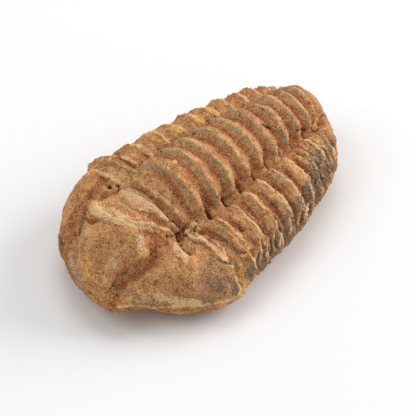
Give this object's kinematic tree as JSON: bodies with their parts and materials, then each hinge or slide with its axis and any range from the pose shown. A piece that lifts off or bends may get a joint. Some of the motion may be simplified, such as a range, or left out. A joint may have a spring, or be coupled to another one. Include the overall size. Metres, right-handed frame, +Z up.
{
  "type": "trilobite fossil",
  "caption": "Fossil trilobite in dry brown stone: domed head with cheeks, raised middle axis of rings, ribbed sides rolled down to the edge, rounded tail and a small flat spot it rests on.",
  "frame": {"origin": "under the middle of the stone's box, on the surface it rests on", "axes": "-Y towards the head, +Y towards the tail, +X the animal's left side, +Z up"},
  "size_m": [0.0418, 0.0668, 0.0229],
  "materials": {
    "fossil_stone": "dry and matte, with crusted and worn patches"
  },
  "bodies": {
    "root": {"trilobite": "fossil_stone"}
  },
  "joints": []
}
